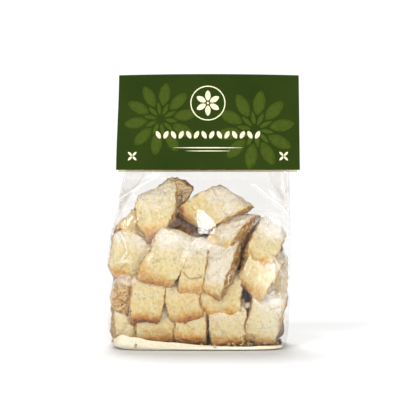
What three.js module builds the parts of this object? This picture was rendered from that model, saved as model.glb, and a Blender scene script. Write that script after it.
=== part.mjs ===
// A clear film bag packed with sliced almond biscuits and closed by a folded header card.
// The bag has a flat block bottom and side gussets that fold inwards under the card.
// Millimetres, +Z up, -Y is the front. The origin is on the ground under the middle of the pack.
import * as THREE from "three";

// Header card: one sheet folded over the neck of the bag.
const cardWidth = 120;
const cardCentreX = 3.5;
const cardTop = 180;
const cardFrontEdge = 116.5; // height of the front panel's lower edge
const cardBackEdge = 113.5; // the back panel hangs a little lower
const cardThickness = 0.6;
const cardMouth = 12.4; // half of the inner width between the panels at the front edge
const cardFoldGap = 0.9; // half of the inner width at the fold
const cardCrown = 0.8; // the fold bows up in the middle
const cardBelly = 1.0; // the panels bow out between fold and mouth
const cardColumns = 24;
const foldSteps = 6;
const panelSteps = 7;

// Bag: stations of the outline, each [height, value].
const clearance = 0.4; // between the film and the card
const neckStart = 112; // the card holds the film from this height up
const finTop = 176;
const baseRound = 5; // radius of the edge round the base
const leftEdge = [
  [0, -59.7], [6, -61.4], [20, -62.2], [48, -62.4], [71, -61], [95, -58.6], [112, -54.5], [118, -53.5],
];
const rightEdge = [
  [0, 54.2], [8, 55.4], [22, 56.4], [52, 57.2], [66, 57.6], [78, 59.2], [91, 60.4], [114, 59.4],
];
const halfDepth = [
  [0, 30.5], [8, 31.5], [30, 32], [58, 31], [78, 27], [97, 19.6], [neckStart, 12.8],
];
// How far each side folds inwards at its middle.
const gussetDepth = [
  [0, -0.8], [62, -0.8], [76, 1.5], [95, 9], [108, 15], [118, 18],
  [132, 17], [150, 10], [165, 2], [finTop, 0],
];
const bodySquareness = 5; // exponent of the rounded-rectangle section
const neckSquareness = 14;
const frontColumns = 42;
const sideColumns = 8;
const levelHeights = [
  ...evenSteps(0, Math.PI / 2, 4).map((angle) => baseRound * (1 - Math.cos(angle))),
  ...evenSteps(baseRound, neckStart, 38).slice(1),
  ...evenSteps(neckStart, finTop, 9).slice(1),
];

// Slices that push the front film out: centre, width, height, lean to the right in degrees,
// and how far each lies behind the foremost ones.
const frontBiscuits = [
  { x: -17, z: 98, width: 20, height: 27, lean: 34, depth: 5 },
  { x: -31.5, z: 90, width: 26, height: 38, lean: 6, depth: 0.5 },
  { x: 9, z: 91, width: 22, height: 45, lean: 68, depth: 1.5 },
  { x: 20, z: 72, width: 18, height: 35, lean: 28, depth: 4 },
  { x: 40, z: 71, width: 23, height: 34, lean: 25, depth: 1.5 },
  { x: -44.5, z: 76, width: 18, height: 20, lean: -34, depth: 9 },
  { x: -54, z: 60.5, width: 18, height: 28, lean: 10, depth: 3.5 },
  { x: -42.5, z: 62, width: 24, height: 35, lean: 17, depth: 4 },
  { x: -25, z: 60, width: 25, height: 36, lean: 21, depth: 0 },
  { x: -6.5, z: 53.5, width: 18, height: 36, lean: 9, depth: 2 },
  { x: 12.5, z: 53.5, width: 21, height: 40, lean: 11, depth: 0 },
  { x: 35.5, z: 54, width: 22, height: 33, lean: 33, depth: 4.5 },
  { x: -53.5, z: 35, width: 18, height: 27, lean: 10, depth: 6 },
  { x: -36, z: 33.5, width: 22, height: 33, lean: -3, depth: 5 },
  { x: -13, z: 32.5, width: 22, height: 32, lean: -10, depth: 4.5 },
  { x: 11.5, z: 36, width: 26, height: 33, lean: 2, depth: 6.5 },
  { x: 41.5, z: 20.5, width: 23, height: 36, lean: 10, depth: 3 },
  { x: -52, z: 17, width: 17, height: 28, lean: 0, depth: 8 },
  { x: -31, z: 14, width: 27, height: 28, lean: -3, depth: 8.5 },
  { x: -8.5, z: 13, width: 20, height: 28, lean: 1, depth: 6.5 },
  { x: 16.5, z: 12.5, width: 25, height: 29, lean: -1, depth: 5.5 },
];
// The back holds rows of the same slices, each shifted and leaned a little differently.
const backRows = [
  { z: 15, height: 28, count: 5, shift: -2 },
  { z: 40, height: 31, count: 5, shift: -1 },
  { z: 63, height: 31, count: 5, shift: -3 },
  { z: 78, height: 31, count: 3, shift: -4 },
];
const backPitch = 23;
const backLean = 17; // largest lean, degrees
const backShuffle = 2.5; // largest shift up or down
const backDepth = 6; // how far the rearmost of them lies behind the foremost
const biscuitRise = 0.8; // how far the foremost slices push the film out
const biscuitTilt = 1.2; // the lower end of a slice stands out this much more than its middle
const layerShare = 0.25; // part of a slice's depth that shows in the film
const filmSag = 4; // how far the film falls back between slices
const edgeSharpness = 6; // exponent of a slice's rounded outline

function evenSteps(from, to, count) {
  return Array.from({ length: count + 1 }, (_, i) => from + ((to - from) * i) / count);
}

// Smooth curve through stations, with the slope at each taken from its neighbours.
function along(stations, at) {
  const last = stations.length - 1;
  if (at <= stations[0][0]) return stations[0][1];
  if (at >= stations[last][0]) return stations[last][1];
  const i = stations.findIndex(([height]) => height > at) - 1;
  const slope = (k) => {
    const [h0, v0] = stations[Math.max(k - 1, 0)];
    const [h1, v1] = stations[Math.min(k + 1, last)];
    return (v1 - v0) / (h1 - h0);
  };
  const [h0, v0] = stations[i];
  const [h1, v1] = stations[i + 1];
  const span = h1 - h0;
  const t = (at - h0) / span;
  return (
    v0 * (2 * t ** 3 - 3 * t ** 2 + 1) +
    slope(i) * span * (t ** 3 - 2 * t ** 2 + t) +
    v1 * (3 * t ** 2 - 2 * t ** 3) +
    slope(i + 1) * span * (t ** 3 - t ** 2)
  );
}

// Half of the inner width of the card at a height; its panels are straight and splayed.
function cardInner(z) {
  const share = (cardTop - cardThickness - z) / (cardTop - cardThickness - cardFrontEdge);
  return cardFoldGap + (cardMouth - cardFoldGap) * share;
}

function bagHalfDepth(z) {
  if (z <= neckStart) return along(halfDepth, z);
  return Math.min(cardInner(z) - clearance, along(halfDepth, z));
}

// How far one slice holds the film off the bottom of the grooves: all of its rise in the middle,
// none at its edge.
function bump(x, z, biscuit) {
  const lean = THREE.MathUtils.degToRad(biscuit.lean);
  const dx = x - biscuit.x;
  const dz = z - biscuit.z;
  const across = (2 * (dx * Math.cos(lean) - dz * Math.sin(lean))) / biscuit.width;
  const up = (2 * (dz * Math.cos(lean) + dx * Math.sin(lean))) / biscuit.height;
  const edge = (share) => Math.max(0, 1 - Math.abs(share) ** edgeSharpness);
  const rise = filmSag + biscuitRise - layerShare * biscuit.depth - biscuitTilt * up;
  return edge(across) * edge(up) * rise;
}

const backBiscuits = backRows.flatMap((row) =>
  Array.from({ length: row.count }, (_, i) => {
    const turn = Math.sin(2.4 * i + row.z);
    return {
      x: (i - (row.count - 1) / 2) * backPitch + row.shift,
      z: row.z + backShuffle * Math.cos(1.9 * i + row.z),
      width: backPitch + 2 * turn,
      height: row.height - 2 * turn,
      lean: backLean * turn,
      depth: (backDepth * (1 - turn)) / 2,
    };
  }),
);

// How far the film stands out from the plain outline, front or back: the highest slice counts.
// It stays plain near the edges, the base and the neck.
function relief(x, z, share, biscuits) {
  const { smoothstep } = THREE.MathUtils;
  const fade = (1 - share ** 10) * smoothstep(neckStart - z, 0, 7) * smoothstep(z, 0, 6);
  return fade * (Math.max(...biscuits.map((biscuit) => bump(x, z, biscuit))) - filmSag);
}

// Stations round the section, as points of a square: front left to right, right side, back, left side.
const sectionStations = [
  ...evenSteps(-1, 1, frontColumns).slice(0, -1).map((p) => [p, -1]),
  ...evenSteps(-1, 1, sideColumns).slice(0, -1).map((q) => [1, q]),
  ...evenSteps(1, -1, frontColumns).slice(0, -1).map((p) => [p, 1]),
  ...evenSteps(1, -1, sideColumns).slice(0, -1).map((q) => [-1, q]),
];

function sectionPoint([p, q], z) {
  const neck = THREE.MathUtils.smoothstep(z, 85, cardFrontEdge);
  const squareness = THREE.MathUtils.lerp(bodySquareness, neckSquareness, neck);
  const scale = (Math.abs(p) ** squareness + Math.abs(q) ** squareness) ** (-1 / squareness);
  const inset = z < baseRound ? baseRound - Math.sqrt(baseRound ** 2 - (baseRound - z) ** 2) : 0;
  const left = along(leftEdge, z) + inset;
  const right = along(rightEdge, z) - inset;
  const centre = (left + right) / 2;
  const fold = Math.abs(p) === 1 ? along(gussetDepth, z) * (1 - Math.abs(q)) : 0;
  const x = centre + p * scale * ((right - left) / 2) - Math.sign(p) * fold;
  const biscuits = q < 0 ? frontBiscuits : backBiscuits;
  const stand = Math.abs(q) === 1 ? relief(x, z, Math.abs(p), biscuits) : 0;
  const y = q * scale * (bagHalfDepth(z) - inset) + Math.sign(q) * stand;
  return [x, y, z];
}

// Triangles between rings of equal length, and a fan over each end.
function closedLoft(rings) {
  const count = rings[0].length;
  const positions = rings.flat(2);
  const faces = [];
  for (let level = 0; level + 1 < rings.length; level++) {
    for (let i = 0; i < count; i++) {
      const a = level * count + i;
      const b = level * count + ((i + 1) % count);
      faces.push(a, b, b + count, a, b + count, a + count);
    }
  }
  const mean = (ring, axis) => ring.reduce((sum, point) => sum + point[axis], 0) / count;
  const middle = (ring) => [0, 1, 2].map((axis) => mean(ring, axis));
  const foot = rings.length * count;
  const lastRing = (rings.length - 1) * count;
  positions.push(...middle(rings[0]), ...middle(rings[rings.length - 1]));
  for (let i = 0; i < count; i++) {
    const next = (i + 1) % count;
    faces.push(foot, next, i, foot + 1, lastRing + i, lastRing + next);
  }
  const geometry = new THREE.BufferGeometry();
  geometry.setAttribute("position", new THREE.Float32BufferAttribute(positions, 3));
  geometry.setIndex(faces);
  geometry.computeVertexNormals();
  return geometry;
}

function bagGeometry() {
  return closedLoft(levelHeights.map((z) => sectionStations.map((station) => sectionPoint(station, z))));
}

// One section of the card at x: the outer side up the front, over the fold and down the back,
// then the inner side the other way.
function cardSection(x) {
  const share = (2 * (x - cardCentreX)) / cardWidth;
  const crown = cardCrown * (1 - share ** 2);
  const foldCentre = cardTop - cardThickness - cardFoldGap - cardCrown + crown;
  const side = (offset, lowest, sign) =>
    evenSteps(lowest, foldCentre, panelSteps).slice(0, -1).map((z) => {
      const rise = (z - lowest) / (foldCentre - lowest);
      const belly = cardBelly * 4 * rise * (1 - rise) * (1 - share ** 4);
      return [x, sign * (cardInner(z) + belly + offset), z];
    });
  const fold = (offset) =>
    evenSteps(Math.PI, 0, foldSteps).map((angle) => {
      const radius = cardFoldGap + offset;
      return [x, radius * Math.cos(angle), foldCentre + radius * Math.sin(angle)];
    });
  const shell = (offset) => [
    ...side(offset, cardFrontEdge, -1),
    ...fold(offset),
    ...side(offset, cardBackEdge, 1).reverse(),
  ];
  return [...shell(cardThickness), ...shell(0).reverse()];
}

// The section is a curved strip, so each end is closed by quads between its outer and inner side.
function cardGeometry() {
  const xs = evenSteps(cardCentreX + cardWidth / 2, cardCentreX - cardWidth / 2, cardColumns);
  const sections = xs.map(cardSection);
  const count = sections[0].length;
  const faces = [];
  for (let column = 0; column + 1 < sections.length; column++) {
    for (let i = 0; i < count; i++) {
      const a = column * count + i;
      const b = column * count + ((i + 1) % count);
      faces.push(a, b, b + count, a, b + count, a + count);
    }
  }
  const lastColumn = (sections.length - 1) * count;
  for (let i = 0; i + 1 < count / 2; i++) {
    const inner = count - 1 - i;
    faces.push(i, inner, inner - 1, i, inner - 1, i + 1);
    const [a, b] = [lastColumn + i, lastColumn + inner];
    faces.push(a, b - 1, b, a, a + 1, b - 1);
  }
  const geometry = new THREE.BufferGeometry();
  geometry.setAttribute("position", new THREE.Float32BufferAttribute(sections.flat(2), 3));
  geometry.setIndex(faces);
  geometry.computeVertexNormals();
  return geometry;
}

function namedMesh(name, geometry, look) {
  const mesh = new THREE.Mesh(geometry, new THREE.MeshStandardMaterial(look));
  mesh.name = name;
  return mesh;
}

const pack = new THREE.Group();
pack.add(namedMesh("filled_bag", bagGeometry(), { color: 0xe8d3a0, roughness: 0.35, metalness: 0 }));
pack.add(namedMesh("header_card", cardGeometry(), { color: 0x364a22, roughness: 0.6, metalness: 0 }));

export default pack;
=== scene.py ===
import bpy
import numpy as np
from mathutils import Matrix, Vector


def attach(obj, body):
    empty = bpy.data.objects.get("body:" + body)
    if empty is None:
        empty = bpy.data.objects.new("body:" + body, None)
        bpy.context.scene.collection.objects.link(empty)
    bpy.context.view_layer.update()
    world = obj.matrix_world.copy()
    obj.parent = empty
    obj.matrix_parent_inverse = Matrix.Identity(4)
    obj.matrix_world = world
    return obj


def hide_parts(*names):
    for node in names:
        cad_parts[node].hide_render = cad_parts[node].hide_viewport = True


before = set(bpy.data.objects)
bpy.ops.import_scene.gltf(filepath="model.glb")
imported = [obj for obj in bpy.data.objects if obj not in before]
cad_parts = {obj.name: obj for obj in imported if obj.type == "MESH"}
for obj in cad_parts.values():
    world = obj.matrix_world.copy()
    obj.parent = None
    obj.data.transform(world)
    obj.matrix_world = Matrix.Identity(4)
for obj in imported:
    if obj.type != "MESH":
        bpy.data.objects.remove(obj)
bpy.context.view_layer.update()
mm = 0.001
print("frame loaded")


# helpers: curves, noise, meshes and shader nodes

def ease(value, low, high):
    # 3t^2 - 2t^3, with t the value's share of the way from low to high
    t = np.clip((value - low) / (high - low), 0, 1)
    return t * t * (3 - 2 * t)


def along(stations, at):
    # cubic through stations [position, value]; the slope at each is that between its two neighbours
    knots, values = np.array(stations, float).T
    last = len(knots) - 1
    at = np.clip(np.asarray(at, float), knots[0], knots[-1])
    i = np.clip(np.searchsorted(knots, at, side="right") - 1, 0, last - 1)
    before, after = np.maximum(np.arange(last + 1) - 1, 0), np.minimum(np.arange(last + 1) + 1, last)
    slope = (values[after] - values[before]) / (knots[after] - knots[before])
    span = knots[i + 1] - knots[i]
    t = (at - knots[i]) / span
    return (
        values[i] * (2 * t**3 - 3 * t**2 + 1)
        + slope[i] * span * (t**3 - 2 * t**2 + t)
        + values[i + 1] * (3 * t**2 - 2 * t**3)
        + slope[i + 1] * span * (t**3 - t**2)
    )


def cornerValue(cells, seed):
    # a fixed pseudo-random number from -1 to 1 for each cell; the large factors only scramble its numbers
    mixed = cells[..., 0] * 73856093 ^ cells[..., 1] * 19349663 ^ cells[..., 2] * 83492791 ^ seed * 2654435
    mixed = (mixed ^ (mixed >> 13)) * 1274126177 & 0x7FFFFFFF
    mixed = (mixed ^ (mixed >> 11)) * 668265263 & 0x7FFFFFFF
    return (mixed & 0xFFFF) / 0x7FFF - 1


def noise(points, size, seed):
    # smooth noise from -1 to 1: random numbers at the corners of cubes, blended by 6t^5 - 15t^4 + 10t^3
    cell = points / size + 0.37
    base = np.floor(cell).astype(np.int64)
    t = cell - base
    fade = t**3 * (t * (6 * t - 15) + 10)
    total = np.zeros(points.shape[:-1])
    for corner in range(8):
        offset = np.array([corner & 1, corner >> 1 & 1, corner >> 2 & 1])
        weight = np.prod(np.where(offset == 1, fade, 1 - fade), axis=-1)
        total += weight * cornerValue(base + offset, seed)
    return total


def makeMesh(name, shape, slotName, material, **attributes):
    # a smooth mesh in metres from points in millimetres, quads and triangles, riding on the pack
    points, quads, triangles = shape
    corners = np.concatenate([np.ravel(quads), np.ravel(triangles)]).astype(np.int32)
    counts = np.concatenate([np.full(len(quads), 4), np.full(len(triangles), 3)]).astype(np.int32)
    mesh = bpy.data.meshes.new(name)
    mesh.vertices.add(len(points))
    mesh.vertices.foreach_set("co", (points * mm).astype(np.float32).ravel())
    mesh.loops.add(len(corners))
    mesh.loops.foreach_set("vertex_index", corners)
    mesh.polygons.add(len(counts))
    mesh.polygons.foreach_set("loop_start", (np.cumsum(counts) - counts).astype(np.int32))
    mesh.polygons.foreach_set("loop_total", counts)
    mesh.polygons.foreach_set("use_smooth", np.ones(len(counts), bool))
    for key, values in attributes.items():
        layer = mesh.attributes.new(key, "FLOAT", "POINT")
        layer.data.foreach_set("value", values.astype(np.float32).ravel())
    mesh.update(calc_edges=True)
    mesh.validate()
    piece = bpy.data.objects.new(name, mesh)
    bpy.context.scene.collection.objects.link(piece)
    mesh.materials.append(material)
    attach(piece, "root")
    return piece


def gridQuads(rows, columns):
    # quads between neighbouring rings of a grid, whose last column is joined to its first
    row, column = np.meshgrid(np.arange(rows - 1), np.arange(columns), indexing="ij")
    nextColumn = (column + 1) % columns
    corners = [row * columns + column, row * columns + nextColumn]
    corners += [(row + 1) * columns + nextColumn, (row + 1) * columns + column]
    return np.stack(corners, axis=-1).reshape(-1, 4)


def closedRings(rings):
    # rings of equal length joined in order, with a fan from the middle of the first and of the last
    rows, columns = rings.shape[:2]
    points = np.concatenate([rings.reshape(-1, 3), [rings[0].mean(0), rings[-1].mean(0)]])
    ring = np.arange(columns)
    nextOne = (ring + 1) % columns
    lastRow = (rows - 1) * columns
    fans = np.concatenate([
        np.stack([np.full(columns, rows * columns), nextOne, ring], -1),
        np.stack([np.full(columns, rows * columns + 1), lastRow + ring, lastRow + nextOne], -1),
    ])
    return points, gridQuads(rows, columns), fans


def gathered(shapes):
    # many closed shapes as one mesh: points, quads and fans with their numbers moved along
    points, quads, fans, start = [], [], [], 0
    for shapePoints, shapeQuads, shapeFans in shapes:
        points.append(shapePoints)
        quads.append(shapeQuads + start)
        fans.append(shapeFans + start)
        start += len(shapePoints)
    return np.concatenate(points), np.concatenate(quads), np.concatenate(fans)


def rgb(*screen):
    # linear colour from screen values of 0 to 255: ((v / 255 + 0.055) / 1.055)^2.4, straight below 10
    return [((v / 255 + 0.055) / 1.055) ** 2.4 if v > 10 else v / 255 / 12.92 for v in screen]


def put(socket, value):
    # links an output, or sets a value; a colour as a tuple holds screen values, as a list linear ones
    if isinstance(value, bpy.types.NodeSocket):
        socket.id_data.links.new(value, socket)
    elif socket.type == "RGBA":
        socket.default_value = (*(rgb(*value) if isinstance(value, tuple) else value), 1)
    else:
        socket.default_value = value


class Shader:
    # a material's node tree; each call adds a node and gives back one of its outputs

    def __init__(self, name):
        self.material = bpy.data.materials.new(name)
        self.material.use_nodes = True
        self.tree = self.material.node_tree
        self.tree.nodes.clear()
        self.surface = self.tree.nodes.new("ShaderNodeOutputMaterial").inputs["Surface"]
        self.place = self.add("TexCoord", output="Object")

    def add(self, kind, inputs=None, output=0, **settings):
        # a node of this kind, its settings made before its sockets are filled
        node = self.tree.nodes.new("ShaderNode" + kind)
        for key, value in settings.items():
            setattr(node, key, value)
        for key, value in (inputs or {}).items():
            put(node.inputs[key], value)
        return node.outputs[output]

    def math(self, operation, first, second=0, third=0):
        # any of the Math node's operations
        return self.add("Math", {0: first, 1: second, 2: third}, operation=operation)

    def times(self, first, second, plus=0):
        # first * second + plus
        return self.math("MULTIPLY_ADD" if plus else "MULTIPLY", first, second, plus)

    def most(self, first, second):
        # the larger of the two
        return self.math("MAXIMUM", first, second)

    def attribute(self, name):
        # a value kept at the mesh's points
        return self.add("Attribute", output="Fac", attribute_name=name)

    def noise(self, scale, detail=2, roughness=0.5, output="Fac"):
        # noise in the piece's own place, around 0.5
        values = {"Vector": self.place, "Scale": scale, "Detail": detail, "Roughness": roughness}
        return self.add("TexNoise", values, output)

    def remap(self, value, low, high, toLow=0, toHigh=1):
        # smooth step from toLow at low to toHigh at high
        values = {"Value": value, "From Min": low, "From Max": high, "To Min": toLow, "To Max": toHigh}
        return self.add("MapRange", values, "Result", interpolation_type="SMOOTHSTEP")

    def mix(self, share, first, second):
        # first * (1 - share) + second * share, for colours
        return self.add("Mix", {0: share, 6: first, 7: second}, 2, data_type="RGBA")

    def bump(self, height, strength, distance):
        # a normal tilted by a height's slopes
        values = {"Height": height, "Strength": strength, "Distance": distance}
        return self.add("Bump", values)

    def finish(self, colour, roughness, specular, height=None, strength=1, distance=0.0002):
        # a matt finish, its shading roughened where a height is given, by that many metres
        values = {"Base Color": colour, "Roughness": roughness, "Specular IOR Level": specular}
        if height is not None:
            values["Normal"] = self.bump(height, strength, distance)
        put(self.surface, self.add("BsdfPrincipled", values))
        return self.material


# the camera and the studio

view = {"place": (-1.7, -900, 110), "pitch": 0.85, "lens": 122.3}

cameraData = bpy.data.cameras.new("camera")
cameraData.lens = view["lens"]
camera = bpy.data.objects.new("camera", cameraData)
camera.location = Vector(view["place"]) * mm
camera.rotation_euler = (np.radians(90 - view["pitch"]), 0, 0)
bpy.context.scene.collection.objects.link(camera)
bpy.context.scene.camera = camera
bpy.context.scene.view_settings.view_transform = "Standard"

studio = {
    "backdrop": 1.05,  # what the camera sees behind the pack
    "ambient": 0.395,  # what lights it from all round
    "mirrored": 0.5,  # what the film reflects
    "floorHalf": 4,  # half of the floor's side, in metres
    "suns": {  # direction, strength, width in degrees
        "keyLight": ((0.30, 0.62, -0.72), 0.66, 7.5),
        "topLight": ((0.04, -0.40, -0.915), 2.82, 24),
    },
    "panels": {  # place, aim, size, power
        "frontLight": ((-480, -1000, 640), (0, 0, 60), (1000, 700), 6.2),
        "fillLight": ((380, -900, 60), (0, 0, 20), (400, 300), 5.0),
    },
}


def addLight(data, place, towards):
    # a light at a place in millimetres, turned to shine along a direction
    light = bpy.data.objects.new(data.name, data)
    light.location = Vector(place) * mm
    light.rotation_euler = Vector(towards).to_track_quat("-Z", "Y").to_euler()
    bpy.context.scene.collection.objects.link(light)


def buildStudio():
    # white all round: the backdrop's strength for the camera, the mirrored one for gloss, else the ambient
    world = bpy.data.worlds.new("studio")
    world.use_nodes = True
    nodes = world.node_tree.nodes
    path = nodes.new("ShaderNodeLightPath")
    strength = studio["ambient"]
    for ray, brightness in (("Is Glossy Ray", studio["mirrored"]), ("Is Camera Ray", studio["backdrop"])):
        choice = nodes.new("ShaderNodeMix")
        put(choice.inputs[0], path.outputs[ray])
        put(choice.inputs[2], strength)
        put(choice.inputs[3], brightness)
        strength = choice.outputs[0]
    put(nodes["Background"].inputs["Strength"], strength)
    put(nodes["Background"].inputs["Color"], [1, 1, 1])
    bpy.context.scene.world = world
    for name, (towards, power, width) in studio["suns"].items():
        sun = bpy.data.lights.new(name, "SUN")
        sun.energy = power
        sun.angle = np.radians(width)
        addLight(sun, (0, 0, 1000), towards)
    for name, (place, aim, size, power) in studio["panels"].items():
        panel = bpy.data.lights.new(name, "AREA")
        panel.shape = "RECTANGLE"
        panel.size, panel.size_y = (side * mm for side in size)
        panel.energy = power
        addLight(panel, place, Vector(aim) - Vector(place))


buildStudio()


def paperMaterial():
    # white paper with a faint grain
    shader = Shader("whitePaper")
    grain = shader.remap(shader.noise(900, 3), 0.3, 0.7, 0, 0.5)
    return shader.finish(shader.mix(grain, [0.735] * 3, [0.725] * 3), 0.9, 0.1)


far = studio["floorHalf"]
floorMesh = bpy.data.meshes.new("floor")
floorMesh.from_pydata([(-far, -far, 0), (far, -far, 0), (far, far, 0), (-far, far, 0)], [], [(0, 1, 2, 3)])
floorMesh.materials.append(paperMaterial())
floor = bpy.data.objects.new("floor", floorMesh)
bpy.context.scene.collection.objects.link(floor)
print("studio ready")


# the bag's plain form, as the solid has it

bag = {
    "leftEdge": [
        (0, -59.7), (6, -61.4), (20, -62.2), (48, -62.4), (71, -61), (95, -58.6), (112, -54.5), (118, -53.5),
    ],
    "rightEdge": [
        (0, 54.2), (8, 55.4), (22, 56.4), (52, 57.2), (66, 57.6), (78, 59.2), (91, 60.4), (114, 59.4),
    ],
    "halfDepth": [(0, 30.5), (8, 31.5), (30, 32), (58, 31), (78, 27), (97, 19.6), (112, 12.8)],
    "gusset": [
        (0, -0.8), (62, -0.8), (76, 1.5), (95, 9), (108, 15),
        (118, 18), (132, 17), (150, 10), (165, 2), (176, 0),
    ],
    "bodySquareness": 5,
    "neckSquareness": 14,
    "baseRound": 5,
    "neckStart": 112,
    "finTop": 176,
    "clearance": 0.4,
}
card = {
    "width": 120,
    "centreX": 3.5,
    "top": 180,
    "frontEdge": 116.5,
    "backEdge": 115.4,
    "thickness": 0.6,
    "mouth": 12.4,
    "foldGap": 0.9,
    "crown": 0.8,
    "belly": 1.0,
    "lean": 1.4,  # how far the left edge leans in at the top
    "steps": (121, 60, 11),  # across the card, up a panel, round the fold
}


def cardInner(z):
    # half of the gap between the panels: straight from the fold's to the mouth's
    share = (card["top"] - card["thickness"] - z) / (card["top"] - card["thickness"] - card["frontEdge"])
    return card["foldGap"] + (card["mouth"] - card["foldGap"]) * share


def bagHalfDepth(z):
    # the body's stations up to the neck, then what the card leaves room for
    return np.where(z <= bag["neckStart"], along(bag["halfDepth"], z), cardInner(z) - bag["clearance"])


def squareness(z):
    # exponent of the bag's outline at z, from the body's up to the neck's
    share = ease(z, 85, 116.5)
    return bag["bodySquareness"] + (bag["neckSquareness"] - bag["bodySquareness"]) * share


def envelope(x, z):
    # half depth at x: the bag's at z times (1 - |p|^n)^(1/n), where p is x's share of the half width
    left, right = along(bag["leftEdge"], z), along(bag["rightEdge"], z)
    share = np.clip(np.abs(2 * x - left - right) / (right - left), 0, 0.94)
    n = squareness(z)
    return bagHalfDepth(z) * (1 - share**n) ** (1 / n)


# biscuits

sliceForm = {
    "rimRings": 4, "rimRound": 0.9,
    "gap": 0.7, "wall": 0.4, "floor": 1.2,  # room left to the film, to its side edges and to the floor
    # layers of noise: height, size and seed
    "crust": [(0.9, 9, 1), (0.62, 4, 2), (0.34, 1.9, 3)],
    "ragged": [(0.9, 7, 6), (0.6, 2.8, 7), (0.3, 1.4, 12)],
    "rough": [(0.4, 1.7, 9), (0.6, 5, 13)],
    "splits": 2, "almonds": 4, "almondLength": (4.2, 6.5), "almondWidth": (2, 3),
}
# side of the heap, first seed and step from one slice to the next, fineness of the mesh
sliceKinds = {
    "front": {"facing": -1, "seeds": (100, 7), "profileSteps": 156, "faceRings": 15, "crustRings": 38},
    "back": {"facing": 1, "seeds": (400, 11), "profileSteps": 92, "faceRings": 9, "crustRings": 18},
}
# x, z, roll, yaw, pitch, width, length, height, toast, depth behind the film,
# then roundness, slant, point and taper, which are 0 where left out
frontSlices = {
    "sliceRightTop": (20.5, 75.8, 27, -38, 26, 16.5, 34, 15, -0.3, 4, 0.1, 0.4),
    "sliceRight": (40.2, 69, 29, 4, 22, 20.5, 31, 16, -0.05, 2.5, 0.25, -0.12),
    "sliceLeftTop": (-30.4, 88.8, 4, 2, 24, 26, 37, 17, 0.22, 0.5, 0.2, 0.58, 0.42, 0.1),
    "sliceTop": (7.2, 91.2, 63, -16, -8, 24, 37, 17, 0.12, 1.5, 0.05, 0.58),
    "sliceMiddleLeft": (-23, 60.2, 25, 2, 18, 25, 39, 16, 0, 0, 0.15, 0.14, 0, -0.08),
    "sliceMiddleRight": (11.4, 54.4, 11, -25, 18, 20.5, 43, 15, -0.28, 0, 0.1, 0, 0, 0.14),
    "sliceDiamond": (38, 54, 35, 0, 18, 24, 35, 15, 0, 4.5, 0.02, -0.34),
    "sliceMiddle": (-5.8, 54.3, 12, 2, 18, 16.5, 39, 15, 0, 3, 0.05),
    "sliceLeftInner": (-47, 61.8, 13, -2, 18, 26, 34, 16, 0, 3, 0.3, 0.15),
    "sliceLeftOuter": (-55.5, 60.5, 10, 4, 14, 18, 28, 15, 0.1, 10, 0.3),
    "sliceLowLeft": (-36, 33.5, -3, -2, 16, 22, 34, 15, 0.38, 5, 0.05),
    "sliceLowMiddle": (-12.8, 32.5, -10, -4, 16, 22, 33, 15, 0.35, 4.5, 0.05),
    "sliceLowRight": (11.6, 36, 2, -4, 16, 27, 34, 15, 0.25, 6.5, 0.05),
    "sliceCutLeft": (-53.4, 35, 8, -82, 8, 22, 29, 22, -0.4, 6, 0.1),
    "sliceLowCorner": (43, 20.5, 13, 2, 10, 22, 37, 16, -0.1, 3, 0.1),
    "sliceBaseLeft": (-31.2, 14, -3, 2, 12, 27, 29, 15, 0.24, 9.5, 0.05),
    "sliceBaseMiddle": (-7.4, 13, 1, -6, 12, 21.5, 29, 15, 0.34, 6, 0.05),
    "sliceBaseRight": (16.6, 12.6, -1, -10, 12, 25, 30, 15, 0, 5.5, 0.05),
    "sliceBaseOuter": (-52.5, 17, 0, 6, 12, 20, 28, 15, -0.05, 8, 0.05),
    "sliceCutTop": (-21.5, 98.4, 214, 84, 0, 21, 29, 19, -0.6, 6, 0.1),
    "sliceLeftBehind": (-44, 80, -34, -20, 14, 16, 19, 13, 1, 8, 0.1),
    # painted shade: these two slices deep in the hollows are toasted to 4, past the darkest brown, so they
    # stand for the shade there
    "sliceGapLeft": (-14, 65, 40, 10, 20, 20, 30, 14, 4, 26, 0.1),
    "sliceGapRight": (26, 32, -20, 10, 20, 20, 32, 14, 4, 23, 0.1),
    "sliceRightBehind": (50, 46, 4, 10, 14, 14, 36, 14, 0, 15, 0.1),
}
# cracks right across a slice: place along and across it, half width, sag in the middle, strength
deepSplits = {
    "sliceMiddle": (-8.4, 0, 7.6, 2, 2.4),
    "sliceTop": (7.5, -8, 4.5, 0.5, 1.5),
}
# the rows behind: height, count and shift of each, then what their slices share or are drawn between
backSlices = {
    "rows": [(15, 5, -2), (40, 5, -1), (63, 5, -3), (76, 3, -4)],
    "step": 23, "size": (21.5, 33, 15), "roundness": 0.1, "roll": 17,
    "yaw": (-12, 12), "pitch": (14, 26), "toast": (0.1, 0.6), "depth": (0, 4), "seed": 5,
}


def layered(points, layers, seed):
    # the sum of layers of noise, each height * noise of its own size
    return sum(height * noise(points, size, seed + own) for height, size, own in layers)


def domeProfile(length, height, bulge, steps):
    # a D, evenly stepped: half an ellipse of exponent bulge above, a shallow one of exponent 7 below
    angle = np.linspace(0, 2 * np.pi, 1441)
    c, s = np.cos(angle), np.sin(angle)
    shoulder = 0.1 * height
    power = np.where(s > 0, 2 / bulge, 2 / 7)
    run = 0.5 * length * np.sign(c) * np.abs(c) ** power
    rise = shoulder + np.where(s > 0, height - shoulder, -shoulder) * np.abs(s) ** power
    distance = np.concatenate([[0], np.cumsum(np.hypot(np.diff(run), np.diff(rise)))])
    even = np.linspace(0, distance[-1], steps, endpoint=False)
    return np.interp(even, distance, run), np.interp(even, distance, rise)


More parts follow.
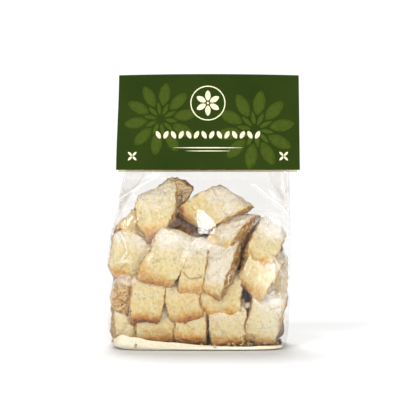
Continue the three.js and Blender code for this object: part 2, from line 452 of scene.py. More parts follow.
def sectionRuns(half, kind):
    # the path from the middle of one face to the middle of the other: share of the profile, inset and side
    rim = sliceForm["rimRound"]
    face = np.linspace(0, 1, kind["faceRings"] + 1)[1:]
    corner = np.linspace(0, np.pi / 2, sliceForm["rimRings"] + 1)[1:]
    crust = np.linspace(-half + rim, half - rim, kind["crustRings"] + 1)[1:-1]
    share = np.concatenate([face, np.ones(2 * len(corner) + len(crust)), face[::-1]])
    turn, faceInset = rim * (1 - np.sin(corner)), np.full(len(face), rim)
    inset = np.concatenate([faceInset, turn, np.zeros(len(crust)), turn[::-1], faceInset])
    edge, faceSide = half - rim * (1 - np.cos(corner)), np.full(len(face), half)
    side = np.concatenate([-faceSide, -edge, crust, edge[::-1], faceSide])
    return share[:, None], inset[:, None], side[:, None]


def sliceSurface(size, form, seed, kind, deepSplit):
    # point = core + (profile - core) * reach at each side; noise then roughens crust, rims and cut faces
    (width, length, height), (roundness, slant, point, taper) = size, form
    draw = np.random.default_rng(seed)
    run, rise = domeProfile(length, height, draw.uniform(2.7, 3.4), kind["profileSteps"])
    core = np.array([0, 0.42 * height])
    spoke = np.stack([run, rise], -1) - core
    spokeLength = np.linalg.norm(spoke, axis=1)
    half, rimRound = width / 2, sliceForm["rimRound"]
    share, inset, side = sectionRuns(half, kind)
    reach = share * (1 - inset / spokeLength)
    share, side = share + 0 * reach, side + 0 * reach
    flat = core + spoke * reach[..., None]
    points = np.stack([side, flat[..., 1], flat[..., 0]], -1)
    x, y, z = (points[..., axis] for axis in range(3))  # a change to one of these changes points
    ends = np.abs(z) / (0.5 * length)
    # rounded ends, faces that aren't quite parallel, and a cut that runs a little askew
    skew, lean = draw.uniform(-0.10, 0.10), draw.uniform(-0.12, 0.12)
    taper += draw.uniform(-0.08, 0.08)
    bend = draw.uniform(-0.004, 0.004)
    z *= 1 - 0.04 * np.abs(x / half) ** 3
    x *= (1 + taper * z / length) * (1 - roundness * ends**4)
    x += skew * z + lean * (y - height / 2) + bend * z**2
    x *= 1 - point * ease(z / length, -0.12, -0.5)
    z += slant * x
    y *= 1 + 0.06 * noise(points * [1, 0, 1], 16, seed)
    fromMiddle = np.abs(side)
    crumb = ease(fromMiddle, half - rimRound, half - 0.3 * rimRound)
    # rim band: chips break off here, and its paler colour is pale crumb and a painted highlight along the
    # edges
    rim = ease(fromMiddle, half - 3.2, half - 0.6)
    crust = layered(points, sliceForm["crust"], seed)
    # a few splits wander over the crust, z = z0 + tilt x + noise, each fading at its ends
    splits = np.zeros(reach.shape)
    wander = 1.8 * noise(points, 5, seed + 20)
    for _ in range(sliceForm["splits"]):
        at, tilt = draw.uniform(-0.36, 0.36) * length, draw.uniform(-0.9, 0.9)
        middle, extent = draw.uniform(-0.35, 0.35) * width, draw.uniform(2, 5)
        away = z - at - tilt * x - wander
        fade = ease(np.abs(x - middle), extent, 0.4 * extent)
        splits = np.maximum(splits, ease(np.abs(away), 0.8, 0.1) * fade)
    if deepSplit:
        at, middle, extent, sag, strength = deepSplit
        across = x - middle
        away = z - at + sag * (1 - (across / extent) ** 2) - 0.6 * noise(points, 4, seed + 26)
        fade = ease(np.abs(across), extent, 0.7 * extent)
        splits = np.maximum(splits, strength * ease(np.abs(away), 0.9, 0.15) * fade)
    pebbles = ease(noise(points, 2, seed + 23), 0.1, 0.6)
    pebbles *= ease(noise(points, 11, seed + 24), -0.3, 0.3)
    chips = ease(noise(points, 3.4, seed + 22), 0.15, 0.6) * rim
    crust = crust - 0.6 * splits + 0.8 * pebbles
    outward = np.column_stack([0 * run, spoke[:, ::-1] / spokeLength[:, None]])
    points += outward * (crust * (1 - 0.5 * crumb) - 1.1 * chips)[..., None]
    ragged = layered(points, sliceForm["ragged"], seed)
    pits = -0.8 * ease(noise(points, 2.2, seed + 8), 0.2, 0.7)
    rough = layered(points, sliceForm["rough"], seed) + pits
    inner = (fromMiddle >= half - 0.01) * ease(share, 1.05, 0.9)
    nearRim = ease(fromMiddle, 0.5 * half, half)
    # almonds: signed distance to a few ovals on each face
    almond = np.full(reach.shape, 9.0)
    for _ in range(sliceForm["almonds"]):
        faceSign = draw.choice([-1, 1])
        turn = draw.uniform(0, np.pi)
        local = flat - [draw.uniform(-0.36, 0.36) * length, draw.uniform(0.25, 0.72) * height]
        nutLength = draw.uniform(*sliceForm["almondLength"])
        nutWidth = draw.uniform(*sliceForm["almondWidth"])
        u = (local[..., 0] * np.cos(turn) + local[..., 1] * np.sin(turn)) / nutLength
        v = (-local[..., 0] * np.sin(turn) + local[..., 1] * np.cos(turn)) / nutWidth
        oval = (np.hypot(u, v * (1 + 0.35 * u)) - 1) * nutWidth
        clear = (np.sign(side) == faceSign) & (almond > 8) & (oval < 4)
        almond = np.where(clear, oval, almond)
    almond = np.where(crumb > 0.9, almond, 9)
    x += np.sign(side) * (nearRim * ragged + inner * rough * ease(almond, -0.1, 0.6))
    base = ease(flat[..., 1] + 0.9 * noise(points, 5, seed + 10), 0.62 * height, 0.04 * height)
    # upward runs from the lower end to the upper: low browns the lower end as toast and painted shade, flour
    # whitens the upper end as flour dust and painted top light
    upward = z / length + 0.08 * noise(points, 9, seed + 11)
    return points, {
        "crumb": crumb, "almond": almond, "base": base, "rim": rim, "splits": splits,
        "ends": ease(ends, 0.5, 1.02), "under": ease(flat[..., 1], 1.1, 0.1),
        "low": ease(upward, -0.14, -0.5), "flour": ease(upward, -0.22, 0.38),
    }


def turned(roll, yaw, pitch):
    # Ry(roll) Rz(yaw) Rx(-pitch): lean to the right, swing to the side, look up
    r, y, p = np.radians([roll, yaw, -pitch])
    aboutX = np.array([[1, 0, 0], [0, np.cos(p), -np.sin(p)], [0, np.sin(p), np.cos(p)]])
    aboutZ = np.array([[np.cos(y), -np.sin(y), 0], [np.sin(y), np.cos(y), 0], [0, 0, 1]])
    aboutY = np.array([[np.cos(r), 0, np.sin(r)], [0, 1, 0], [-np.sin(r), 0, np.cos(r)]])
    return aboutY @ aboutZ @ aboutX


biscuitColours = {
    "crust": [  # by heat, from pale to dark
        (0, (242, 228, 174)), (0.22, (236, 209, 138)), (0.48, (230, 176, 84)),
        (0.75, (200, 126, 44)), (1, (138, 72, 24)),
    ],
    # the flour white stands for flour dust and for painted top light on the upper ends
    "flour": (251, 246, 236), "rim": (244, 222, 172), "freckle": (156, 104, 50),
    "split": (176, 122, 66), "crack": (180, 132, 76), "under": (132, 84, 44), "tint": (220, 164, 92),
    "crumb": ((204, 150, 86), (238, 204, 142)), "pore": (142, 86, 42), "lowCrumb": (152, 98, 50),
    # the pale crumb colour is painted light for cut faces that lie in shade
    "paintedLightCrumb": (250, 232, 192), "skin": ((122, 70, 36), (152, 94, 52)),
    "flesh": ((244, 234, 208), (228, 208, 168)),
}


def biscuitMaterial():
    # crust coloured by its heat and dusted with flour, whiter towards the upper ends as flour and painted
    # top light, cut faces of crumb and almonds, told apart by crumb
    shader = Shader("biscuit")
    times, most, remap, mix = shader.times, shader.most, shader.remap, shader.mix
    colours = biscuitColours
    crumb, almond, base, ends, under, toast, tint, low, flour, rim, splits = (
        shader.attribute(name)
        for name in "crumb almond base ends under toast tint low flour rim splits".split()
    )
    broad, middle = shader.noise(110, 3, 0.55), shader.noise(420, 4, 0.6)
    small, fine = shader.noise(900, 3, 0.6), shader.noise(1900, 3, 0.6)
    # hairline cracks in patches: the edges of warped cells, 0 in a crack and 1 elsewhere
    warp = {0: shader.noise(260, 3, output="Color"), 1: [0.006] * 3, 2: shader.place}
    cells = {"Vector": shader.add("VectorMath", warp, operation="MULTIPLY_ADD"), "Scale": 170}
    crackle = shader.add("TexVoronoi", cells, "Distance", feature="DISTANCE_TO_EDGE")
    cracks = most(remap(crackle, 0, 0.07), remap(broad, 0.38, 0.48))
    cracks = most(cracks, remap(middle, 0.43, 0.53))
    # crust: pale cream to gold to brown, browner towards the base as toast, and towards the lower end as
    # toast and painted shade
    warm = most(toast, 0)
    heat = times(base, 0.5, times(warm, 0.24))
    heat = times(ends, 0.12, heat)
    heat = times(low, times(shader.math("MINIMUM", warm, 0.6), 0.8), heat)
    heat = times(shader.math("POWER", low, 3), 0.42, heat)
    heat = shader.math("ADD", heat, remap(broad, 0.3, 0.7, -0.14, 0.10))
    heat = shader.math("ADD", heat, remap(middle, 0.34, 0.66, -0.11, 0.12))
    crust = shader.add("ValToRGB", {"Fac": heat}, "Color")
    elements = crust.node.color_ramp.elements
    while len(elements) < len(colours["crust"]):
        elements.new(0.5)
    for element, (position, colour) in zip(elements, colours["crust"]):
        element.position = position
        element.color = (*rgb(*colour), 1)
    patches = times(shader.noise(330, 3, 0.6), 0.6, times(small, 0.4))
    # painted top light as well as flour dust: white mixed in more towards each slice's upper end, and all
    # over the pale slices but their lower end
    dustAndPaintedTopLight = times(remap(patches, 0.40, 0.53), remap(flour, 0, 1, 0.16, 1))
    dustAndPaintedTopLight = times(dustAndPaintedTopLight, remap(toast, 0, 0.45, 1, 0.45))
    # painted shade: slices toasted past 0.8, the two in the hollows, lose their flour and stay dark brown
    dustAndPaintedTopLight = times(dustAndPaintedTopLight, remap(toast, 0.8, 1.5, 1, 0))
    allOver = times(remap(toast, 0, -0.3, 0, 0.85), remap(low, 0.1, 0.6, 1, 0.1))
    dustAndPaintedTopLight = most(dustAndPaintedTopLight, times(allOver, remap(patches, 0.3, 0.5)))
    for share, name in (
        # rim: pale crumb at the side edges and a painted highlight along them
        (dustAndPaintedTopLight, "flour"), (times(rim, 0.3), "rim"),
        (remap(shader.noise(1050), 0.635, 0.70, 0, 0.6), "freckle"),
        (times(splits, 0.3), "split"), (times(cracks, -0.34, 0.34), "crack"),
    ):
        crust = mix(share, crust, colours[name])
    # cut face: tan crumb with pores, then the almonds' skins and flesh
    pores = remap(shader.noise(760, 3, 0.62), 0.52, 0.70)
    inside = mix(remap(middle, 0.38, 0.62), *colours["crumb"])
    skinShare = times(remap(almond, 0.12, -0.08), remap(small, 0.36, 0.5, 0.35, 0.9))
    for share, colour in (
        (times(pores, 0.35), colours["pore"]),
        (times(base, 0.4), colours["lowCrumb"]),
        # painted light: the cut faces of the palest slices turn to paler crumb, to lift faces that lie in
        # shade
        (remap(toast, -0.3, -0.6, 0, 0.55), colours["paintedLightCrumb"]),
        (skinShare, mix(remap(middle, 0.4, 0.6), *colours["skin"])),
        (remap(almond, -0.32, -0.52), mix(remap(fine, 0.35, 0.65), *colours["flesh"])),
    ):
        inside = mix(share, inside, colour)
    colour = mix(crumb, crust, inside)
    colour = mix(times(under, 0.75), colour, colours["under"])
    colour = mix(times(tint, 0.10), colour, colours["tint"])
    # surface: pimples, pits and hairline cracks on the crust, open crumb on the faces
    surface = times(middle, 0.8, times(small, 0.6))
    surface = times(fine, 0.3, surface)
    surface = times(cracks, 0.22, surface)
    surface = shader.math("SUBTRACT", surface, times(times(pores, crumb), 0.9))
    return shader.finish(colour, remap(middle, 0.3, 0.7, 0.7, 0.9), 0.15, surface, 1, 0.002)


biscuit = biscuitMaterial()
allSlices = []


def addSlice(name, spec, number, kind):
    # a slice, turned, set at its place within the bag's edges and slid back to its depth behind the film
    x, z, roll, yaw, pitch, width, length, height, toast, depth, *form = spec
    form += [0] * (4 - len(form))
    facing, (firstSeed, seedStep) = kind["facing"], kind["seeds"]
    seed = firstSeed + seedStep * number
    surface, values = sliceSurface((width, length, height), form, seed, kind, deepSplits.get(name))
    points, quads, caps = closedRings(surface)
    # local axes: across, dome and long go to +X, the film's side and +Z
    local = np.stack([points[:, 0], height / 2 - points[:, 1], points[:, 2]], -1)
    placed = local @ turned(roll, yaw, pitch).T
    if facing > 0:
        placed[:, :2] *= -1
    placed += [x, 0, z]
    placed[:, 2] -= min(0, placed[:, 2].min() - sliceForm["floor"])
    for edge, sign in (("rightEdge", 1), ("leftEdge", -1)):
        wall = sign * along(bag[edge], placed[:, 2]) - sliceForm["wall"]
        placed[:, 0] -= sign * max(0, (sign * placed[:, 0] - wall).max())
    room = envelope(placed[:, 0], placed[:, 2]) - sliceForm["gap"]
    placed[:, 1] += facing * ((room - facing * placed[:, 1]).min() - depth)
    filled = {key: np.concatenate([v.ravel(), [v[0].mean(), v[-1].mean()]]) for key, v in values.items()}
    filled["toast"] = np.full(len(placed), toast)
    filled["tint"] = np.full(len(placed), np.random.default_rng(seed + 99).uniform(0, 1))
    allSlices.append(placed)
    makeMesh(name, (placed, quads, caps), "filled_bag", biscuit, **filled)


def addBackSlices():
    # row by row, a step apart; sines of the place in the row tilt, widen and lift them
    draw = np.random.default_rng(backSlices["seed"])
    width, length, height = backSlices["size"]
    for rowNumber, (z, count, shift) in enumerate(backSlices["rows"]):
        for i in range(count):
            x = (i - (count - 1) / 2) * backSlices["step"] + shift
            turn = np.sin(2.4 * i + z)
            yaw, pitch, toast, depth = (
                draw.uniform(*backSlices[key]) for key in ("yaw", "pitch", "toast", "depth")
            )
            spec = (
                x, z + 2.5 * np.cos(1.9 * i + z), -backSlices["roll"] * turn, yaw, pitch,
                width + 2 * turn, length, height, toast, depth, backSlices["roundness"],
            )
            addSlice(f"sliceBack{rowNumber + 1}{i + 1}", spec, 5 * rowNumber + i, sliceKinds["back"])


for number, (name, spec) in enumerate(frontSlices.items()):
    addSlice(name, spec, number, sliceKinds["front"])
addBackSlices()
print("slices placed")


# the card on top

def cardFace(x, z, offset, sign):
    # outer or inner side of a panel: straight splay plus a belly that fades to the ends
    share = 2 * (x - card["centreX"]) / card["width"]
    lowest = card["frontEdge"] if sign < 0 else card["backEdge"]
    rise = np.clip((z - lowest) / (card["top"] - card["thickness"] - lowest), 0, 1)
    belly = card["belly"] * 4 * rise * (1 - rise) * (1 - np.abs(share) ** 4)
    return sign * (cardInner(z) + belly + offset)


def cardRings(across, panelSteps, foldSteps):
    # at each x, the outer side up the front, round the fold and down the back, then the inner side back
    share = 2 * (across - card["centreX"]) / card["width"]
    foldZ = card["top"] - card["thickness"] - card["foldGap"] - card["crown"] * share**2
    run = np.linspace(0, 1, panelSteps, endpoint=False)
    angle = np.linspace(np.pi, 0, foldSteps)

    def shell(offset):
        # one side of the card: front panel, half circle at the fold, back panel
        parts = []
        for sign, lowest, order in ((-1, card["frontEdge"], 1), (1, card["backEdge"], -1)):
            z = lowest + (foldZ[:, None] - lowest) * run[None, ::order]
            x = across[:, None] + 0 * z
            parts.append(np.stack([x, cardFace(x, z, offset, sign), z], -1))
        radius = card["foldGap"] + offset
        y = radius * np.cos(angle)[None] + 0 * foldZ[:, None]
        z = foldZ[:, None] + radius * np.sin(angle)[None]
        fold = np.stack([across[:, None] + 0 * z, y, z], -1)
        return np.concatenate([parts[0], fold, parts[1]], axis=1)

    outer, inner = shell(card["thickness"]), shell(0.0)
    return np.concatenate([outer, inner[:, ::-1]], axis=1)


def cardMaterial():
    # dark green with faint clouds and fibres outside, cream board where inner is 1
    shader = Shader("greenCard")
    fibre, cloud = shader.noise(700, 4), shader.noise(22)
    colour = shader.mix(shader.remap(cloud, 0.35, 0.65), (33, 50, 6), (40, 56, 9))
    colour = shader.mix(shader.remap(fibre, 0.3, 0.7, 0, 0.12), colour, (50, 64, 24))
    board = shader.mix(shader.remap(fibre, 0.3, 0.7), (216, 208, 178), (200, 190, 158))
    colour = shader.mix(shader.attribute("inner"), colour, board)
    return shader.finish(colour, 0.65, 0.06, fibre, 0.25)


def buildCard():
    # the rings joined along the card, with strips between outer and inner side at its two ends
    half, (acrossSteps, panelSteps, foldSteps) = card["width"] / 2, card["steps"]
    across = np.linspace(card["centreX"] + half, card["centreX"] - half, acrossSteps)
    rings = cardRings(across, panelSteps, foldSteps)
    columns, count = rings.shape[:2]
    # the left edge leans
    rings[..., 0] += card["lean"] * ease(rings[..., 2], 116, 180) * ease(rings[..., 0], -20, -56)
    i = np.arange(count // 2 - 1)
    opposite = count - 1 - i
    end = (columns - 1) * count
    quads = np.concatenate([
        gridQuads(columns, count),
        np.stack([i, opposite, opposite - 1, i + 1], -1),
        np.stack([end + i, end + i + 1, end + opposite - 1, end + opposite], -1),
    ])
    inner = np.zeros((columns, count))
    inner[:, count // 2:] = 1
    shape = (rings.reshape(-1, 3), quads, ())
    piece = makeMesh("foldedCard", shape, "header_card", cardMaterial(), inner=inner)
    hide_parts("header_card")


buildCard()
print("card built")


# the print: plain petals, almonds and rules lying on the front panel

printing = {
    "proud": {"leaf": 0.04, "cream": 0.1},
    "leafInk": ((58, 74, 17), (66, 82, 22)),
    "creamInk": ((228, 224, 186), (240, 236, 200)),
    "rosettes": [(-27.5, 150, 25), (34.5, 143, 27)],  # centre and radius, in the lighter green
    "flower": (3.5, 160.5, 8.6),
    "dot": 1.6,
    "ring": (3.5, 160.5, 11.2, 0.75),
    "row": {"z": 139.5, "from": -29, "to": 36, "count": 14, "leaf": (5.6, 2.9)},
    "rules": [(3.5, 131, 46, 0.75), (3.5, 128.9, 30, 0.6)],
    "corners": [(-46, 125.5), (53, 125.5)],
    "cornerLeaf": (3.6, 1.5),
    "cornerReach": 2.1,
}


def petal(x, z, length, width, turn):
    # a pointed oval: half width sin(t)^1.4 along its length, turned about its middle
    t = np.linspace(0, 2 * np.pi, 28, endpoint=False)
    run = -0.5 * length * np.cos(t)
    side = 0.5 * width * np.sign(np.sin(t)) * np.abs(np.sin(t)) ** 1.4
    c, s = np.cos(np.radians(turn)), np.sin(np.radians(turn))
    return np.stack([x + run * c - side * s, z + run * s + side * c], -1)


def inkPad(outline, middle, proud):
    # a thin closed pad: its outline scaled about the middle, proud of the card and as far inside it
    rings = []
    for share, offset in ((0.5, 1), (1, 1), (1, -1), (0.5, -1)):
        flat = middle + (outline - middle) * share
        y = cardFace(flat[:, 0], flat[:, 1], card["thickness"] + offset * proud, -1)
        rings.append(np.stack([flat[:, 0], y, flat[:, 1]], -1))
    return closedRings(np.array(rings))


def leafPad(centre, size, turn, proud, away=0, angle=0):
    # a petal's pad turned by degrees, its middle moved away from the centre at an angle in radians
    middle = np.array([centre[0] + away * np.cos(angle), centre[1] + away * np.sin(angle)])
    return inkPad(petal(*middle, *size, turn), middle, proud)


def inkRing(x, z, radius, width, proud):
    # a closed band between two circles
    steps = 72
    t = np.linspace(0, 2 * np.pi, steps, endpoint=False)
    rings = []
    for edge, offset in ((-0.5, -1), (-0.5, 1), (0.5, 1), (0.5, -1)):
        r = radius + edge * width
        px, pz = x + r * np.cos(t), z + r * np.sin(t)
        y = cardFace(px, pz, card["thickness"] + offset * proud, -1)
        rings.append(np.stack([px, y, pz], -1))
    return np.concatenate(rings), gridQuads(5, steps) % (4 * steps), np.zeros((0, 3), int)


def inkMaterial(name):
    # one screen colour to another by a worn noise
    shader = Shader(name)
    worn = shader.noise(520, 4, 0.6)
    colour = shader.mix(shader.remap(worn, 0.35, 0.65), *printing[name])
    return shader.finish(colour, 0.6, 0.06, worn, 0.15)


def buildPrint():
    # rosettes of ten long and ten short leaves; a flower in a ring, a row of leaves, rules and corner marks
    leaves, proud = [], printing["proud"]["leaf"]
    for x, z, radius in printing["rosettes"]:
        for turn in range(9, 360, 36):
            angle = np.radians(turn)
            longLeaf, shortLeaf = (0.62 * radius, 0.30 * radius), (0.34 * radius, 0.11 * radius)
            leaves.append(leafPad((x, z), longLeaf, turn, proud, 0.66 * radius, angle))
            leaves.append(leafPad((x, z), shortLeaf, turn + 18, proud, 0.28 * radius, angle + 0.314))
    makeMesh("printLeaves", gathered(leaves), "header_card", inkMaterial("leafInk"))
    cream, proud = [], printing["proud"]["cream"]
    x, z, radius = printing["flower"]
    for turn in range(30, 360, 60):
        size = (0.8 * radius, 0.42 * radius)
        cream.append(leafPad((x, z), size, turn, proud, 0.58 * radius, np.radians(turn)))
    cream.append(leafPad((x, z), (printing["dot"], printing["dot"]), 0, proud))
    row = printing["row"]
    for i, at in enumerate(np.linspace(row["from"], row["to"], row["count"])):
        cream.append(leafPad((at, row["z"]), row["leaf"], 62 if i % 2 else 118, proud))
    for x, z, length, width in printing["rules"]:
        cream.append(leafPad((x, z), (length, width), 0, proud))
    for corner in printing["corners"]:
        for turn in range(45, 360, 90):
            size, away = printing["cornerLeaf"], printing["cornerReach"]
            cream.append(leafPad(corner, size, turn, proud, away, np.radians(turn)))
    cream.append(inkRing(*printing["ring"], proud))
    makeMesh("printCream", gathered(cream), "header_card", inkMaterial("creamInk"))


buildPrint()
print("print laid")


# base card under the biscuits

tray = {
    "inset": 3, "board": 0.55, "squareness": 6, "level": 4,
    "liftLeft": 9, "liftRight": 2.7, "liftBack": 3, "wave": 0.22,
    "flatTo": 0.86, "turnsUpFrom": 0.78,  # shares of the way out from the middle
    "curl": 1.8, "curlOut": (1.6, 0.9, 0.5), "rest": 0.4,
    "steps": 280, "rings": 44,
}


def trayMaterial():
    # pale board with fibres and a few stains
    shader = Shader("creamBoard")
    fibre = shader.noise(800, 4)
    colour = shader.mix(shader.remap(fibre, 0.3, 0.7), (250, 244, 222), (240, 232, 206))
    colour = shader.mix(shader.remap(shader.noise(70, 3), 0.5, 0.72, 0, 0.35), colour, (222, 196, 146))
    return shader.finish(colour, 0.7, 0.2, fibre, 0.3)


def buildTray():
    # a superellipse scaled from the middle out; past a share of the way its edge turns up, most at the
    # front left, where its corner curls out as well
    angle = np.linspace(0, 2 * np.pi, tray["steps"], endpoint=False)
    power, level, inset = 2 / tray["squareness"], tray["level"], tray["inset"]
    p, q = (np.sign(wave) * np.abs(wave) ** power for wave in (np.cos(angle), np.sin(angle)))
    left, right = along(bag["leftEdge"], level) + inset, along(bag["rightEdge"], level) - inset
    depth = along(bag["halfDepth"], level) - inset + 0.8
    centre, half = (left + right) / 2, (right - left) / 2
    run = np.linspace(0, 1, tray["rings"] + 1)[1:, None]
    spread = np.minimum(run / tray["flatTo"], 1)
    x, y = centre + p * half * spread, q * depth * spread
    front = ease(-q, 0.2, 1)
    leftward = ease(-p, -0.35, 1) ** 1.3
    lift = tray["liftBack"] + (tray["liftRight"] - tray["liftBack"]) * front
    lift = lift + (tray["liftLeft"] - tray["liftRight"]) * front * leftward
    lift = lift * (1 + tray["wave"] * noise(np.stack([p * half, q * depth, 0 * p], -1), 9, 71))
    up = ease(run, tray["turnsUpFrom"], 1)
    curl = tray["curl"] * ease(-p, 0.72, 0.98) * ease(-q, 0.5, 0.95) * up**2
    outX, outY, outZ = tray["curlOut"]
    x, y = x + curl * outX, y + curl * outY
    z = tray["rest"] + lift * up + curl * outZ
    outward = np.stack([p, q], -1) / np.hypot(p, q)[:, None]
    bottom = np.stack([x, y, z], -1)
    bottom[..., :2] += tray["board"] * up[..., None] * outward
    top = np.stack([x, y, z + tray["board"] * (1 - 0.8 * up)], -1)
    points, quads, caps = closedRings(np.concatenate([top, bottom[::-1]]))
    makeMesh("baseCard", (points, quads[:, ::-1], caps[:, ::-1]), "header_card", trayMaterial())


buildTray()
print("base card built")


# crumbs and almond chips

crumbs = {
    "count": 90, "size": (0.5, 1.7), "across": (-52, 49), "behindFilm": (3.6, 10), "seed": 21,
    "almondsAbove": 0.88,  # of draws from 0 to 1
    "chips": [(28.8, -25, 29, 2.3), (-43, -27.5, 3.6, 1.6), (8, -29.5, 3, 1.4)],  # place and size
}


def crumbShape(centre, size, draw):
    # a ball of four rings and two poles, each point pushed in or out at random and the whole squashed
    turn = np.linspace(0, 2 * np.pi, 7, endpoint=False)
    rise = np.radians([-50, -18, 18, 50])[:, None]
    ball = np.stack([np.cos(rise) * np.cos(turn), np.cos(rise) * np.sin(turn), np.sin(rise) + 0 * turn], -1)
    ball *= draw.uniform(0.7, 1.25, ball.shape[:2])[..., None] * draw.uniform(0.7, 1.2, 3)
    return closedRings(centre + ball * size)


def buildCrumbs():
    # balls just behind the front film, lying higher towards the left and on the base card's edge
    draw = np.random.default_rng(crumbs["seed"])
    shapes, nuts = [], []
    for _ in range(crumbs["count"]):
        size = draw.uniform(*crumbs["size"]) * draw.uniform(0.5, 1)
        x, depth = draw.uniform(*crumbs["across"]), draw.uniform(*crumbs["behindFilm"])
        y = depth - float(envelope(np.array(x), np.array(6.0)))
        z = 1.1 + 0.6 * size + 2.2 * ease(-x, 10, 50) * draw.uniform(0, 1)
        z += 2.9 * ease(depth, 7.5, 4.2)
        shapes.append(crumbShape(np.array([x, y, z]), size, draw))
        nuts.append(draw.uniform(0, 1) > crumbs["almondsAbove"])
    for x, y, z, size in crumbs["chips"]:
        shapes.append(crumbShape(np.array([x, y, z]), size, draw))
        nuts.append(True)
    count = len(shapes[0][0])
    almond = np.repeat(np.where(nuts, -1, 9), count)
    tone = np.repeat(draw.uniform(0, 1, len(shapes)), count)
    makeMesh(
        "crumbs", gathered(shapes), "filled_bag", biscuit, crumb=1 + 0 * tone, almond=almond,
        base=0.3 * tone, toast=-0.2 - 0.3 * tone, tint=tone, low=0.5 * tone,
        **dict.fromkeys(("ends", "under", "flour", "rim", "splits"), 0 * tone),
    )


buildCrumbs()
print("crumbs scattered")


# film

film = {
    "front": 236, "side": 30, "back": 74, "levels": 196, "neckLevels": 12, "baseLevels": 6,
    "slack": 1.005, "rounds": 110, "suction": 0.012, "margin": 0.5, "ironing": 10,
    # what keeps its length: steps up, steps round, stiffness
    "spans": [(0, 1, 1), (1, 0, 1), (1, 1, 0.5), (1, -1, 0.5), (0, 2, 0.12), (2, 0, 0.12)],
    "lean": (-0.185, 0.445),  # slopes across and up at which the film throws the key light to the front
}
# the maps of how far the heap reaches: cell, half width and half depth covered, cells up
heapMap = {"cell": 1, "halfSpan": (70, 40), "levels": 125}
# flat facets that catch the light: corners x, z; how fully they lean
facets = [
    ([(-3.6, 91.5), (1.4, 90.6), (6.6, 86), (10.2, 80.4), (6, 70.5), (-3.9, 73.5)], 1),
    ([(-53.2, 82.6), (-49.7, 84), (-45, 85.6), (-46.8, 81), (-49.7, 78.2), (-53, 79.5)], 1),
    ([(-27, 76.5), (-14, 79), (-11.5, 73), (-22, 68.5), (-28, 70.5)], 0.72),
    ([(-7, 73.5), (8.5, 74), (9.5, 68), (0, 63.5), (-8, 66)], 0.78),
    ([(38, 88), (50.5, 84), (51.5, 73), (43, 71.5), (36.5, 78)], 0.76),
    ([(40.5, 32.5), (50.5, 35), (51, 29), (44, 27.5)], 0.8),
    ([(42.5, 103.4), (46, 103), (49.5, 97.8), (47, 97.4)], 1),
]
# painted glare: soft white patches where the film should glint; centre x, z; half width; half height; share
# of white
hazes = [
    (46, 80, 8, 9, 0.45), (56.5, 60, 4.5, 60, 0.30), (46, 29, 8, 6, 0.40), (46, 16, 9, 9, 0.2),
    (-22, 71, 9, 3.6, 0.32), (2, 69, 12, 4, 0.32), (-51, 45.5, 7, 3.5, 0.40), (-33, 96, 7, 7, 0.2),
    (12, 101, 10, 5, 0.2), (-60, 45, 2.5, 45, 0.25),
]
# thin folds: points x, z along each; height; half width
creases = [
    ([(-29.5, 113.5), (-40, 107), (-53, 98.5), (-60.5, 88)], 0.9, 1.0),
    ([(-53.5, 77), (-50, 70), (-48.5, 63.5), (-52.5, 58)], 0.8, 0.8),
    ([(-56.5, 57), (-46, 58)], 0.8, 0.8),
    ([(-58.5, 92), (-57, 80), (-54, 70), (-56, 60)], 0.6, 0.9),
    ([(34, 107), (43, 99), (52, 92), (58.5, 83)], 0.9, 1.0),
    ([(52.5, 112), (53.5, 100), (55, 88)], 0.7, 0.9),
    ([(56, 80), (53.5, 66), (55, 52), (54, 40)], 0.7, 0.9),
    ([(-10.5, 65.5), (-4, 72.5)], 0.6, 0.7),
    ([(-10.5, 65.5), (-17, 71)], 0.5, 0.7),
    ([(-10.5, 65.5), (-13, 58)], 0.5, 0.7),
    ([(-10.5, 65.5), (-8, 60)], 0.5, 0.7),
    ([(37, 85.5), (42, 91)], 0.5, 0.7),
    ([(37, 85.5), (33, 81)], 0.5, 0.7),
    ([(37, 85.5), (40, 80)], 0.5, 0.7),
    ([(46, 60), (52, 48), (50, 36)], 0.6, 0.9),
    ([(-44, 100), (-36, 93), (-33, 84)], 0.5, 0.9),
]
paintedCreaseGlare = {"share": 0.75, "width": 0.5}  # painted highlight: white along the folds


def reachMap(points, axis, sign):
    # for each cell of a grid seen along the axis, the farthest a biscuit point in or next to it reaches
    span, cell = heapMap["halfSpan"][1 - axis], heapMap["cell"]
    shape = (int(2 * span / cell), heapMap["levels"])
    column = np.clip(((points[:, 1 - axis] + span) / cell).astype(int), 0, shape[0] - 1)
    row = np.clip((points[:, 2] / cell).astype(int), 0, shape[1] - 1)
    found = np.full(shape, -60.0)
    np.maximum.at(found, (column, row), sign * points[:, axis])
    spread = found.copy()
    for moveX in (-1, 0, 1):
        for moveZ in (-1, 0, 1):
            spread = np.maximum(spread, np.roll(found, (moveX, moveZ), (0, 1)))
    return spread


def sampled(grid, column, row):
    # bilinear value of the map between its cell centres
    column = np.clip(column - 0.5, 0, grid.shape[0] - 1.001)
    row = np.clip(row - 0.5, 0, grid.shape[1] - 1.001)
    i, j = column.astype(int), row.astype(int)
    u, v = column - i, row - j
    low = grid[i, j] * (1 - u) + grid[i + 1, j] * u
    high = grid[i, j + 1] * (1 - u) + grid[i + 1, j + 1] * u
    return low * (1 - v) + high * v


